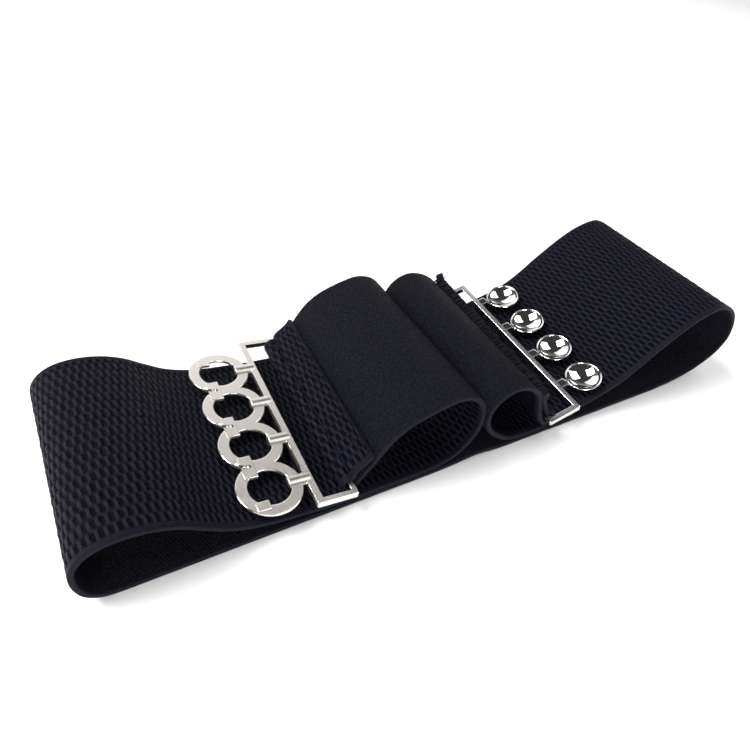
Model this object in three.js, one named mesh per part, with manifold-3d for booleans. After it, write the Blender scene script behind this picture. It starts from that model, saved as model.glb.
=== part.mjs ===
// Elastic stretch belt with a ring-and-dome metal clasp, unfastened and lying folded on a flat surface.
// Millimetres, +Z up. X runs along the belt and Y across the band. The group's origin is the middle of
// the belt's footprint, on the surface that it lies on.
import * as THREE from "three";
import { mergeVertices } from "three/addons/utils/BufferGeometryUtils.js";
import Module from "manifold-3d";

const wasm = await Module();
wasm.setup();

// Elastic band
const bandWidth = 75;
const bandThickness = 1.9;
const selvedgeChamfer = 0.55;
const selvedgeFlatShare = 0.45;
const plyGap = 0.3;
const humpClearance = 0.35;

// Lay of the band: reaches are centre line lengths along X, heights run up to the band's outer face
const humpOneReach = 48.2;
const humpOneHeight = 34.9;
const leftFoldReach = 84.5;
const leftFoldHeight = 25.2;
const humpTwoReach = 32.7;
const humpTwoHeight = 32.2;
const rightFoldReach = 101.8;
const rightFoldHeight = 40.8;
const lowerLayerLift = 1.4;

// Sewn ends of the band
const ringReturnLength = 12.5;
const ringReturnBulge = 2.0;
const domeReturnLength = 17.5;
const domeReturnBulge = 1.4;
const overlockLength = 4.2;
const overlockThickness = 3.4;
const overlockRoundedShare = 0.72;

// How the band's ends and the clasp halves lie askew
const ringSlide = 2.2;
const ringTurn = 2.06;
const ringClaspOffset = -0.5;
const domeSlide = -0.5;
const domeTurn = 1.7;
const domeClaspOffset = 1.2;
const domeRoll = 1.0;
const domeBarLift = 1.5;

// Clasp frames, alike on both halves
const claspSlack = 3.7;
const frameBreadth = 13.95;
const frameHeight = 2.2;
const barWidth = 2.05;
const frameCorner = 0.7;
const frameBevel = 0.2;
const wrapClearance = 0.3;

// Ring half
const hookCount = 4;
const hookPitch = 18.7;
const ringOuterRadius = 10.7;
const ringHoleRadius = 6.94;
const ringPlateThickness = 1.6;
const ringStandOff = 1.5;
const ringRowShift = 1.9;
const tabBreadth = 4.4;
const tabHalfLength = 4.5;
const tabRise = 0.3;
const tabInset = 2.0;
const bridgeWidth = 3.6;
const bridgeHeight = 2.4;
const bridgeOverhang = 0.9;
const bridgeLift = 0.1;

// Dome half
const domeRadius = 6.6;
const domeDepth = 3.7;
const domeWall = 0.8;
const domeDrop = 2.8;
const domeStandOff = 5.6;
const domeRowShift = -0.45;
const armWidth = 4.0;
const armThickness = 1.3;
const armEntry = 1.8;
const armSink = 0.15;
const armSeat = 0.2;
const armCrankStart = 2.2;
const armCrankEnd = 0.4;
const armCrankRise = 0.9;
const armKneeStart = 1.4;
const armKneeRise = 0.5;

// Space under the clasp halves where they rest on the band
const restClearance = 0.3;

// Mesh steps
const longestStep = 8;
const shortestStep = 0.35;
const sharpestTurn = THREE.MathUtils.degToRad(11);
const samplesPerRow = 16;
const wrapSteps = 36;
const overlockSteps = 5;
const roundSides = 40;
const bridgeSides = 14;
const domeSides = 28;
const domeRings = 5;

// Levels of the band's centre line where its layers lie on each other
const layerStep = bandThickness + plyGap;
const lowerLevel = bandThickness / 2;
const upperLevel = lowerLevel + layerStep;
const wrapRadius = Math.hypot(barWidth, frameHeight) / 2 + wrapClearance + bandThickness / 2;
const topOf = (height) => height - bandThickness / 2;

// Hidden bars that the band's ends are sewn round
const humpGap = bandThickness + humpClearance;
const ringBar = { x: -humpGap / 2 - humpOneReach, z: upperLevel + layerStep + wrapRadius, side: 1 };
const domeBar = {
  x: humpGap / 2 + humpTwoReach,
  z: upperLevel + layerStep + wrapRadius + domeBarLift,
  side: -1,
};

// Rows of a loop: along is a share of its reach from the bar, up a share from the base level to the top,
// slide and turn say how far the band there follows the clasp half
const humpOneFlank = [
  { along: 0.137, up: 0.285, slide: 0.9, turn: 0.9 },
  { along: 0.213, up: 0.505, slide: 0.8, turn: 0.8 },
  { along: 0.292, up: 0.68, slide: 0.75, turn: 0.7 },
  { along: 0.373, up: 0.795, slide: 0.7, turn: 0.55 },
  { along: 0.497, up: 0.897, slide: 0.6, turn: 0.35 },
  { along: 0.636, up: 0.967, slide: 0.55, turn: 0.15 },
  { along: 0.734, up: 1, slide: 0.5, turn: 0 },
];
const humpOneFar = [
  { along: 0.837, up: 0.972, slide: 0.45, turn: 0 },
  { along: 0.92, up: 0.891, slide: 0.4, turn: 0 },
  { along: 0.974, up: 0.774, slide: 0.35, turn: 0 },
  { along: 0.999, up: 0.628, slide: 0.3, turn: 0 },
  { along: 1, up: 0.482, slide: 0.25, turn: 0 },
  { along: 0.974, up: 0.339, slide: 0.2, turn: 0 },
  { along: 0.92, up: 0.206, slide: 0.15, turn: 0 },
  { along: 0.831, up: 0.083, slide: 0.1, turn: 0 },
  { along: 0.684, up: 0.012, slide: 0.05, turn: 0 },
  { along: 0.518, up: 0, slide: 0, turn: 0 },
  { along: 0.04, up: 0, slide: 0, turn: 0 },
];
const leftFoldUpper = [
  { along: 0.083, up: 0.018 },
  { along: 0.178, up: 0.062 },
  { along: 0.331, up: 0.143 },
  { along: 0.426, up: 0.24 },
  { along: 0.515, up: 0.402 },
  { along: 0.599, up: 0.64 },
  { along: 0.677, up: 0.85 },
  { along: 0.756, up: 0.96 },
  { along: 0.832, up: 1 },
];
const leftFoldOuter = [
  { along: 0.907, up: 0.963 },
  { along: 0.959, up: 0.856 },
  { along: 0.992, up: 0.692 },
  { along: 1, up: 0.519 },
  { along: 0.994, up: 0.33 },
  { along: 0.973, up: 0.149 },
  { along: 0.929, up: 0.032 },
  { along: 0.864, up: 0 },
  { along: 0.7, up: 0 },
];
const underHumpOne = [
  { along: 0.4, up: 0 },
  { along: 0.78, up: 0 },
];
const underHumpTwo = [
  { along: 0.65, up: 0 },
  { along: 0.1, up: 0 },
];
const rightFoldOuter = [
  { along: 0.45, up: 0 },
  { along: 0.607, up: 0 },
  { along: 0.753, up: 0.031 },
  { along: 0.835, up: 0.076 },
  { along: 0.921, up: 0.174 },
  { along: 0.98, up: 0.307 },
  { along: 1, up: 0.46 },
  { along: 0.976, up: 0.653 },
  { along: 0.924, up: 0.838 },
  { along: 0.859, up: 0.956 },
  { along: 0.803, up: 1 },
];
const rightFoldUpper = [
  { along: 0.743, up: 0.983 },
  { along: 0.682, up: 0.93 },
  { along: 0.612, up: 0.829 },
  { along: 0.547, up: 0.704 },
  { along: 0.482, up: 0.569 },
  { along: 0.429, up: 0.442 },
  { along: 0.367, up: 0.32 },
  { along: 0.283, up: 0.216 },
  { along: 0.185, up: 0.137 },
  { along: 0.106, up: 0.078 },
  { along: 0.027, up: 0.028 },
];
const humpTwoFar = [
  { along: 0.14, up: 0.003, slide: 0, turn: 0 },
  { along: 0.312, up: 0, slide: 0, turn: 0 },
  { along: 0.52, up: 0.023, slide: 0.1, turn: 0 },
  { along: 0.673, up: 0.112, slide: 0.2, turn: 0 },
  { along: 0.832, up: 0.251, slide: 0.3, turn: 0 },
  { along: 0.942, up: 0.415, slide: 0.4, turn: 0 },
  { along: 0.994, up: 0.564, slide: 0.5, turn: 0 },
  { along: 1, up: 0.699, slide: 0.6, turn: 0 },
  { along: 0.957, up: 0.835, slide: 0.65, turn: 0 },
  { along: 0.865, up: 0.941, slide: 0.7, turn: 0 },
  { along: 0.734, up: 1, slide: 0.75, turn: 0 },
];
const humpTwoFlank = [
  { along: 0.593, up: 0.977, slide: 0.8, turn: 0.1 },
  { along: 0.434, up: 0.87, slide: 0.85, turn: 0.3 },
  { along: 0.318, up: 0.727, slide: 0.9, turn: 0.5 },
  { along: 0.251, up: 0.53, slide: 0.95, turn: 0.7 },
  { along: 0.19, up: 0.325, slide: 1, turn: 0.9 },
  { along: 0.122, up: 0.15, slide: 1, turn: 1 },
];

// How the band lies where a clasp half holds it
const ringEnd = { slide: ringSlide, turn: ringTurn, roll: 0 };
const domeEnd = { slide: domeSlide, turn: domeTurn, roll: domeRoll };

// Wrap round each bar, in degrees from straight under it: where it hands over to the loop and, on the
// other side, where it lies straight over the bar and where the sewn end leaves it
const ringWrapEnd = 78;
const domeWrapEnd = 50;
const overBar = -180;
const leavingBar = -196;

// Places a table's rows as centre line points, with the clasp half's slide, turn and roll
function placeRows(rows, origin, reach, base, top, clasp) {
  return rows.map((row) => ({
    x: origin + row.along * reach,
    z: base + row.up * (top - base),
    slide: (row.slide ?? 0) * clasp.slide,
    turn: (row.turn ?? 0) * clasp.turn,
    roll: (row.turn ?? 0) * clasp.roll,
  }));
}

// A point on the wrap round a bar: 0 degrees is straight under it, positive towards its loop
function wrapPoint(bar, degrees, clasp) {
  const angle = THREE.MathUtils.degToRad(degrees);
  return {
    x: bar.x + bar.side * wrapRadius * Math.sin(angle),
    z: bar.z - wrapRadius * Math.cos(angle),
    ...clasp,
  };
}

function wrapArc(bar, fromDegrees, toDegrees, clasp) {
  const points = [];
  for (let i = 0; i <= wrapSteps; i++)
    points.push(wrapPoint(bar, THREE.MathUtils.lerp(fromDegrees, toDegrees, i / wrapSteps), clasp));
  return points;
}

// A smooth curve through centre line points, sampled finely; slide, turn and roll run evenly between them
function smooth(points) {
  const curve = new THREE.CatmullRomCurve3(
    points.map((p) => new THREE.Vector3(p.x, 0, p.z)),
    false,
    "centripetal",
  );
  const spans = points.length - 1;
  const samples = [];
  for (let i = 0; i <= spans * samplesPerRow; i++) {
    const u = i / (spans * samplesPerRow);
    const span = Math.min(Math.floor(u * spans), spans - 1);
    const share = u * spans - span;
    const at = curve.getPoint(u);
    const between = (key) => THREE.MathUtils.lerp(points[span][key], points[span + 1][key], share);
    samples.push({ x: at.x, z: at.z, slide: between("slide"), turn: between("turn"), roll: between("roll") });
  }
  return samples;
}

function distance(a, b) {
  return Math.hypot(b.x - a.x, b.z - a.z);
}

// The point at a given length along a line of samples, with the line's direction there
function pointAlong(samples, length) {
  let walked = 0;
  for (let i = 1; i < samples.length; i++) {
    const step = distance(samples[i - 1], samples[i]);
    if (walked + step >= length || i === samples.length - 1) {
      const share = step > 0 ? (length - walked) / step : 0;
      return {
        x: THREE.MathUtils.lerp(samples[i - 1].x, samples[i].x, share),
        z: THREE.MathUtils.lerp(samples[i - 1].z, samples[i].z, share),
        dx: (samples[i].x - samples[i - 1].x) / step,
        dz: (samples[i].z - samples[i - 1].z) / step,
      };
    }
    walked += step;
  }
}

// Rows of a sewn end's free ply: along is a share of its length, lift a share of its bulge
const returnShape = [
  { along: 0.3, lift: 1 },
  { along: 0.5, lift: 0.72 },
  { along: 0.75, lift: 0.18 },
  { along: 0.9, lift: 0 },
  { along: 1, lift: 0 },
];

// The sewn end: over the bar, then down onto the outside of the loop's flank, to the raw edge
function returnPly(bar, flank, length, bulge, clasp) {
  const points = [wrapPoint(bar, overBar, clasp), wrapPoint(bar, leavingBar, clasp)];
  for (const row of returnShape) {
    const foot = pointAlong(flank, row.along * length);
    const offset = layerStep + row.lift * bulge;
    points.push({
      x: foot.x - bar.side * foot.dz * offset,
      z: foot.z + bar.side * foot.dx * offset,
      ...clasp,
    });
  }
  return smooth(points);
}

// The whole centre line of the band, from its raw edge at the ring half to that at the dome half
function bandCentreLine() {
  const level = { slide: 0, turn: 0, roll: 0 };
  const main = smooth([
    wrapPoint(ringBar, ringWrapEnd, ringEnd),
    ...placeRows(
      humpOneFlank,
      ringBar.x,
      humpOneReach,
      ringBar.z - wrapRadius,
      topOf(humpOneHeight),
      ringEnd,
    ),
    ...placeRows(humpOneFar, ringBar.x, humpOneReach, upperLevel, topOf(humpOneHeight), ringEnd),
    ...placeRows(leftFoldUpper, ringBar.x, -leftFoldReach, upperLevel, topOf(leftFoldHeight), level),
    ...placeRows(leftFoldOuter, ringBar.x, -leftFoldReach, lowerLevel, topOf(leftFoldHeight), level),
    ...placeRows(underHumpOne, ringBar.x, humpOneReach, lowerLevel, topOf(humpOneHeight), level),
    { x: 0, z: lowerLevel + lowerLayerLift, ...level },
    ...placeRows(underHumpTwo, domeBar.x, -humpTwoReach, lowerLevel, topOf(humpTwoHeight), level),
    ...placeRows(rightFoldOuter, domeBar.x, rightFoldReach, lowerLevel, topOf(rightFoldHeight), level),
    ...placeRows(rightFoldUpper, domeBar.x, rightFoldReach, upperLevel, topOf(rightFoldHeight), level),
    ...placeRows(humpTwoFar, domeBar.x, -humpTwoReach, upperLevel, topOf(humpTwoHeight), domeEnd),
    ...placeRows(
      humpTwoFlank,
      domeBar.x,
      -humpTwoReach,
      domeBar.z - wrapRadius,
      topOf(humpTwoHeight),
      domeEnd,
    ),
    wrapPoint(domeBar, domeWrapEnd, domeEnd),
  ]);
  for (const point of main) point.z = Math.max(point.z, lowerLevel);
  const ringReturn = returnPly(ringBar, main, ringReturnLength, ringReturnBulge, ringEnd);
  const domeFlank = [...main].reverse();
  const domeReturn = returnPly(domeBar, domeFlank, domeReturnLength, domeReturnBulge, domeEnd);
  return [
    ...ringReturn.reverse().slice(0, -1),
    ...wrapArc(ringBar, overBar, ringWrapEnd, ringEnd).slice(0, -1),
    ...main,
    ...wrapArc(domeBar, domeWrapEnd, overBar, domeEnd).slice(1),
    ...domeReturn.slice(1),
  ];
}

// Keeps the samples that the bends and the longest step need, each with its direction and thickness
function chooseStations(samples) {
  const last = samples.length - 1;
  const lengths = [0];
  for (let i = 1; i <= last; i++) lengths.push(lengths[i - 1] + distance(samples[i - 1], samples[i]));
  const heading = (i) => {
    const a = samples[Math.max(i - 1, 0)];
    const b = samples[Math.min(i + 1, last)];
    return Math.atan2(b.z - a.z, b.x - a.x);
  };
  const seamStart = lengths[last] - overlockLength;
  const stations = [];
  let kept = -1;
  let keptHeading = 0;
  samples.forEach((sample, i) => {
    const angle = heading(i);
    const turned = Math.abs(Math.atan2(Math.sin(angle - keptHeading), Math.cos(angle - keptHeading)));
    const walked = kept < 0 ? Infinity : lengths[i] - lengths[kept];
    const inSeam = lengths[i] > seamStart && walked > overlockLength / overlockSteps;
    const needed = walked > longestStep || turned > sharpestTurn || inSeam || i === last;
    if (!needed || walked < shortestStep) return;
    const seamShare = THREE.MathUtils.clamp((lengths[i] - seamStart) / overlockLength, 0, 1);
    const swell = Math.sqrt(Math.sin(Math.PI * Math.min(seamShare, overlockRoundedShare)));
    stations.push({
      ...sample,
      angle,
      thickness: bandThickness + (overlockThickness - bandThickness) * swell,
      outward: ((overlockThickness - bandThickness) / 2) * swell,
    });
    kept = i;
    keptHeading = angle;
  });
  return stations;
}

// One closed ribbon: an eight-sided section, with chamfered selvedges, set at every station
function bandGeometry(stations) {
  const middle = bandWidth / 2;
  const positions = [];
  for (const station of stations) {
    const half = station.thickness / 2;
    const edge = half * selvedgeFlatShare;
    const inner = middle - selvedgeChamfer;
    const section = [
      [-middle, -edge],
      [-middle, edge],
      [-inner, half],
      [inner, half],
      [middle, edge],
      [middle, -edge],
      [inner, -half],
      [-inner, -half],
    ];
    const normalX = -Math.sin(station.angle);
    const normalZ = Math.cos(station.angle);
    const skew = Math.tan(THREE.MathUtils.degToRad(station.turn));
    const climb = Math.tan(THREE.MathUtils.degToRad(station.roll));
    for (const [across, off] of section) {
      const depth = off - station.outward;
      positions.push(
        station.x + normalX * depth + skew * across,
        middle + station.slide + across,
        station.z + normalZ * depth + climb * across,
      );
    }
  }
  const sides = positions.length / 3 / stations.length;
  const index = [];
  for (let i = 0; i + 1 < stations.length; i++)
    for (let k = 0; k < sides; k++) {
      const a = i * sides + k;
      const b = i * sides + ((k + 1) % sides);
      index.push(a, a + sides, b, b, a + sides, b + sides);
    }
  const end = (stations.length - 1) * sides;
  for (let k = 1; k + 1 < sides; k++) {
    index.push(0, k, k + 1);
    index.push(end, end + k + 1, end + k);
  }
  const geometry = new THREE.BufferGeometry();
  geometry.setAttribute("position", new THREE.Float32BufferAttribute(positions, 3));
  geometry.setIndex(index);
  geometry.computeVertexNormals();
  return geometry;
}

// A closed three.js geometry as a solid that can be joined and cut
function solid(geometry) {
  const bare = geometry.clone();
  bare.deleteAttribute("normal");
  bare.deleteAttribute("uv");
  const merged = mergeVertices(bare, 1e-4);
  return new wasm.Manifold(
    new wasm.Mesh({
      numProp: 3,
      vertProperties: new Float32Array(merged.attributes.position.array),
      triVerts: new Uint32Array(merged.index.array),
    }),
  );
}

function geometryOf(manifold) {
  const mesh = manifold.getMesh();
  const positions = new Float32Array(mesh.numVert * 3);
  for (let i = 0; i < mesh.numVert; i++)
    positions.set(mesh.vertProperties.subarray(i * mesh.numProp, i * mesh.numProp + 3), i * 3);
  const geometry = new THREE.BufferGeometry();
  geometry.setAttribute("position", new THREE.BufferAttribute(positions, 3));
  geometry.setIndex(new THREE.BufferAttribute(mesh.triVerts, 1));
  geometry.computeVertexNormals();
  return geometry;
}

// A box between two corners
function block(x0, x1, y0, y1, z0, z1) {
  const geometry = new THREE.BoxGeometry(x1 - x0, y1 - y0, z1 - z0);
  geometry.translate((x0 + x1) / 2, (y0 + y1) / 2, (z0 + z1) / 2);
  return solid(geometry);
}

// An upright round plug
function plug(x, y, radius, z0, z1) {
  const geometry = new THREE.CylinderGeometry(radius, radius, z1 - z0, roundSides);
  geometry.rotateX(Math.PI / 2);
  geometry.translate(x, y, (z0 + z1) / 2);
  return solid(geometry);
}

function roundedRectangle(path, x0, x1, y0, y1, radius) {
  path.moveTo(x0 + radius, y0);
  path.lineTo(x1 - radius, y0);
  path.quadraticCurveTo(x1, y0, x1, y0 + radius);
  path.lineTo(x1, y1 - radius);
  path.quadraticCurveTo(x1, y1, x1 - radius, y1);
  path.lineTo(x0 + radius, y1);
  path.quadraticCurveTo(x0, y1, x0, y1 - radius);
  path.lineTo(x0, y0 + radius);
  path.quadraticCurveTo(x0, y0, x0 + radius, y0);
  return path;
}

// Clasp halves are modelled about the middle of their hidden bar: X points away from the loop of
// band, Y runs along the bars, and the frame's back face, which shows, looks up
const claspLength = bandWidth + claspSlack + 2 * barWidth;
const frameTop = frameHeight / 2;
const frameNear = -barWidth / 2;
const frameFar = frameBreadth - barWidth / 2;

function claspFrame() {
  const half = claspLength / 2;
  const shape = roundedRectangle(new THREE.Shape(), frameNear, frameFar, -half, half, frameCorner);
  const window = roundedRectangle(
    new THREE.Path(),
    frameNear + barWidth,
    frameFar - barWidth,
    -half + barWidth,
    half - barWidth,
    frameCorner / 2,
  );
  shape.holes.push(window);
  const geometry = new THREE.ExtrudeGeometry(shape, {
    depth: frameHeight - 2 * frameBevel,
    curveSegments: 3,
    bevelEnabled: true,
    bevelThickness: frameBevel,
    bevelSize: frameBevel,
    bevelOffset: -frameBevel,
    bevelSegments: 1,
  });
  geometry.translate(0, 0, frameBevel - frameTop);
  return solid(geometry);
}

// Centres of the rings or domes along the bar
function hookRow(shift) {
  const centres = [];
  for (let i = 0; i < hookCount; i++) centres.push((i - (hookCount - 1) / 2) * hookPitch + shift);
  return centres;
}

const ringCentreX = frameFar + ringStandOff + ringOuterRadius;

function ringHalf() {
  const plateBottom = -frameTop;
  const plateTop = plateBottom + ringPlateThickness;
  const centres = hookRow(ringRowShift);
  let half = claspFrame();
  for (const y of centres) half = half.add(plug(ringCentreX, y, ringOuterRadius, plateBottom, plateTop));
  for (const y of centres)
    half = half.subtract(plug(ringCentreX, y, ringHoleRadius, plateBottom - 1, plateTop + 1));
  // Flat tabs across the places where two rings meet, and half tabs at the row's ends
  const tabStart = ringCentreX + tabInset;
  const tabEnd = tabStart + tabBreadth;
  const outermost = centres[hookCount - 1] + hookPitch / 2;
  const innermost = centres[0] - hookPitch / 2;
  for (let i = 0; i <= hookCount; i++) {
    const junction = innermost + i * hookPitch;
    const from = Math.max(junction - tabHalfLength, innermost + tabHalfLength / 4);
    const to = Math.min(junction + tabHalfLength, outermost - tabHalfLength / 4);
    half = half.add(block(tabStart, tabEnd, from, to, plateBottom, plateTop + tabRise));
  }
  // Half-round bridges from each ring to the long bar
  const bridgeFrom = frameFar - barWidth / 2;
  const bridgeTo = ringCentreX - ringHoleRadius + bridgeOverhang;
  for (const y of centres) {
    const bridge = new THREE.CylinderGeometry(0.5, 0.5, bridgeTo - bridgeFrom, bridgeSides);
    bridge.rotateZ(Math.PI / 2);
    bridge.scale(1, bridgeWidth, bridgeHeight);
    bridge.translate((bridgeFrom + bridgeTo) / 2, y, plateBottom + bridgeHeight / 2 + bridgeLift);
    half = half.add(solid(bridge));
  }
  return half;
}

const domeCentreX = frameFar + domeStandOff + domeRadius;
const domeRim = frameTop - domeDrop;

// Radius of the sphere that a dome is a cap of
const domeSphere = (domeRadius ** 2 + domeDepth ** 2) / (2 * domeDepth);

// A hollow round cap, open upwards: its wall runs down the outside and back up the inside
function domeShell() {
  const rise = domeSphere - domeDepth;
  const spread = Math.acos(rise / domeSphere);
  const profile = [];
  for (let i = 0; i <= domeRings; i++) {
    const angle = (spread * i) / domeRings;
    profile.push(new THREE.Vector2(domeSphere * Math.sin(angle), rise - domeSphere * Math.cos(angle)));
  }
  const inner = domeSphere - domeWall;
  const innerSpread = Math.acos(rise / inner);
  for (let i = domeRings; i >= 0; i--) {
    const angle = (innerSpread * i) / domeRings;
    profile.push(new THREE.Vector2(inner * Math.sin(angle), rise - inner * Math.cos(angle)));
  }
  profile[0].x = 0;
  profile[profile.length - 1].x = 0;
  const geometry = new THREE.LatheGeometry(profile, domeSides);
  geometry.rotateX(Math.PI / 2);
  return geometry;
}

// The tongue that carries a dome: level at the bar, then down over the dome's rim
function armGeometry() {
  const start = frameFar - barWidth / 2;
  const rimX = frameFar + domeStandOff;
  const top = frameTop - armSink;
  const shape = new THREE.Shape();
  shape.moveTo(start, top - armThickness);
  shape.lineTo(rimX - armKneeStart, domeRim - armThickness + armKneeRise);
  shape.lineTo(rimX + armEntry, domeRim - armThickness + armSeat);
  shape.lineTo(rimX + armEntry, domeRim + armSeat);
  shape.lineTo(rimX - armCrankEnd, domeRim + armCrankRise);
  shape.lineTo(rimX - armCrankStart, top);
  shape.lineTo(start, top);
  shape.closePath();
  const geometry = new THREE.ExtrudeGeometry(shape, { depth: armWidth, bevelEnabled: false });
  geometry.rotateX(Math.PI / 2);
  geometry.translate(0, armWidth / 2, 0);
  return geometry;
}

function domeHalf() {
  let half = claspFrame();
  for (const y of hookRow(domeRowShift)) {
    const dome = domeShell();
    dome.translate(domeCentreX, y, domeRim);
    const arm = armGeometry();
    arm.translate(0, y, 0);
    half = half.add(solid(dome)).add(solid(arm));
  }
  return half;
}

// Height of the upper layer's top face at a place along X, on the fold beyond a clasp half
function layerTop(layers, x, foldSide) {
  for (let i = 1; i < layers.length; i++) {
    const a = layers[i - 1];
    const b = layers[i];
    const onFold = foldSide < 0 ? b.x < a.x && b.x < ringBar.x : b.x < a.x && b.x > domeBar.x;
    if (onFold && Math.min(a.x, b.x) <= x && x <= Math.max(a.x, b.x)) {
      const slope = Math.atan2(b.z - a.z, b.x - a.x);
      const z = THREE.MathUtils.lerp(a.z, b.z, (x - a.x) / (b.x - a.x));
      return z + bandThickness / 2 / Math.abs(Math.cos(slope));
    }
  }
  return 0;
}

const steepestTilt = THREE.MathUtils.degToRad(36);
const tiltHalvings = 40;

// Tips a clasp half about its hidden bar until its underside lies on the layer below, also at the end
// of its row that its turn brings nearer to the fold and its roll lower
function restingTilt(layers, bar, underside, clasp) {
  const foldSide = -bar.side;
  const reach = ((hookCount - 1) / 2) * hookPitch + domeRadius;
  const askew = reach * Math.tan(THREE.MathUtils.degToRad(clasp.turn));
  const lower = reach * Math.tan(THREE.MathUtils.degToRad(clasp.roll));
  const room = (tilt) =>
    Math.min(
      ...underside.map(([x, z]) => {
        const worldX = bar.x + foldSide * (x * Math.cos(tilt) - z * Math.sin(tilt));
        const worldZ = bar.z + x * Math.sin(tilt) + z * Math.cos(tilt) - lower;
        return worldZ - layerTop(layers, worldX + foldSide * askew, foldSide);
      }),
    );
  let low = 0;
  let high = steepestTilt;
  for (let halving = 0; halving < tiltHalvings; halving++) {
    const middle = (low + high) / 2;
    if (room(middle) > restClearance) high = middle;
    else low = middle;
  }
  return high;
}

function ringUnderside() {
  const points = [];
  for (let i = 0; i <= roundSides; i++) {
    const x = THREE.MathUtils.lerp(frameFar, ringCentreX + ringOuterRadius, i / roundSides);
    points.push([x, -frameTop]);
  }
  return points;
}

function domeUnderside() {
  const rise = domeSphere - domeDepth;
  const spread = Math.acos(rise / domeSphere);
  const points = [];
  for (let i = -domeSides; i <= domeSides; i++) {
    const angle = (spread * i) / domeSides;
    const drop = domeSphere * Math.cos(angle) - rise;
    points.push([domeCentreX + domeSphere * Math.sin(angle), domeRim - drop]);
  }
  return points;
}

// Stands a clasp half on its bar: the ring half points to -X and the dome half to +X
function placeClasp(mesh, bar, tilt, clasp, offset) {
  const facing = new THREE.Group();
  facing.rotation.z = bar.side > 0 ? Math.PI : 0;
  mesh.rotation.y = -tilt;
  mesh.position.y = bar.side > 0 ? -offset : offset;
  facing.add(mesh);
  const askew = new THREE.Group();
  askew.position.set(bar.x, bandWidth / 2 + clasp.slide, bar.z);
  askew.rotation.set(
    THREE.MathUtils.degToRad(clasp.roll),
    0,
    -THREE.MathUtils.degToRad(clasp.turn),
    "ZYX",
  );
  askew.add(facing);
  return askew;
}

const cloth = new THREE.MeshStandardMaterial({ color: 0x14151c, roughness: 0.95, metalness: 0 });
const satinNickel = new THREE.MeshStandardMaterial({ color: 0xb9b3a6, roughness: 0.35, metalness: 1 });
const chrome = new THREE.MeshStandardMaterial({ color: 0xd2d2d0, roughness: 0.1, metalness: 1 });

function namedMesh(name, geometry, material) {
  const mesh = new THREE.Mesh(geometry, material);
  mesh.name = name;
  return mesh;
}

function buildBelt() {
  const stations = chooseStations(bandCentreLine());
  const pieces = new THREE.Group();
  pieces.add(namedMesh("elastic_band", bandGeometry(stations), cloth));
  const rings = namedMesh("ring_clasp", geometryOf(ringHalf()), satinNickel);
  const ringTilt = restingTilt(stations, ringBar, ringUnderside(), ringEnd);
  pieces.add(placeClasp(rings, ringBar, ringTilt, ringEnd, ringClaspOffset));
  const domes = namedMesh("dome_clasp", geometryOf(domeHalf()), chrome);
  const domeTilt = restingTilt(stations, domeBar, domeUnderside(), domeEnd);
  pieces.add(placeClasp(domes, domeBar, domeTilt, domeEnd, domeClaspOffset));
  pieces.updateMatrixWorld(true);
  const box = new THREE.Box3().setFromObject(pieces, true);
  pieces.position.set(-(box.min.x + box.max.x) / 2, -(box.min.y + box.max.y) / 2, -box.min.z);
  const belt = new THREE.Group();
  belt.add(pieces);
  return belt;
}

const belt = buildBelt();
export default belt;
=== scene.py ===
"""The looks of a wide elastic stretch belt that lies folded and unfastened on a pale floor."""

import math

import bmesh
import bpy
import numpy as np
from mathutils import Matrix, Vector


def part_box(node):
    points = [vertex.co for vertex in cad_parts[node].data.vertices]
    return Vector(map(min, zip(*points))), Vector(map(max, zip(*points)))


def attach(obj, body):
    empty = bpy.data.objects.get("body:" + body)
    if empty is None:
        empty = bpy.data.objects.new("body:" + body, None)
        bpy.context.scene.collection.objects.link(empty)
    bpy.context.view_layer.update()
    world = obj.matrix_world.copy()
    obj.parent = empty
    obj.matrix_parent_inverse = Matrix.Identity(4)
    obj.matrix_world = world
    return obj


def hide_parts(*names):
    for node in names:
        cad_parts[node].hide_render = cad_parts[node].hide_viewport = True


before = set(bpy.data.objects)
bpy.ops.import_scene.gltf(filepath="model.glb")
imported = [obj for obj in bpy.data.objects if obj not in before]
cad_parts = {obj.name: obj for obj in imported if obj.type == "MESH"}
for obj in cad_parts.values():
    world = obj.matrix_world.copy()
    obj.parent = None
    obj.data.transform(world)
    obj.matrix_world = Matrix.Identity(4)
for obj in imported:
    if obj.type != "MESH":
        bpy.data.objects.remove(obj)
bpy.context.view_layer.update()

# Lengths are in millimetres, in the part's frame, unless a comment says metres; MM is one in metres
MM = 0.001

# The band, its selvedges and how finely it is divided
BAND_WIDTH = 75.0
SELVEDGE_FLAT_SHARE = 0.45
SELVEDGE_STRIP = 1.9
SELVEDGE_DROP = 0.12
EDGE_ROUNDING = 0.55
EDGE_COLUMNS = 4
INNER_COLUMNS = 9
PLAIN_STEP = 7.0
SHARPEST_STEP = math.radians(9)

# Points round a selvedge: distance in from the band's edge, and side in half thicknesses
SELVEDGE_ROUND = ((0.2, 0.8), (0.03, 0.45), (0.16, 0.0), (0.03, -0.45), (0.2, -0.8))

# The woven grains and how finely they are divided
GRAIN_PITCH = 2.33
GRAIN_ROW = 3.85
GRAIN_LEAN = 0.105
GRAIN_DEPTH = 0.72
CROWN_DEPTH = 0.42
GRAIN_HALF_WIDTH = 1.13
GRAIN_HALF_LENGTH = 2.45
GRAIN_WIDTH_POWER = 2.2
GRAIN_LENGTH_POWER = 2.6
GRAIN_FLATNESS = 0.55
GRAIN_LOWEST = 0.84
GRAIN_UNEVEN = 0.16
GRAIN_STEP = GRAIN_PITCH / 4.5
COLUMN_STEP = GRAIN_ROW / 4.5

# Multipliers that scatter the grains' heights, by column, by row, by row shift and over all
SCATTER = (12.9898, 78.233, 37.7, 43758.5453)

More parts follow.
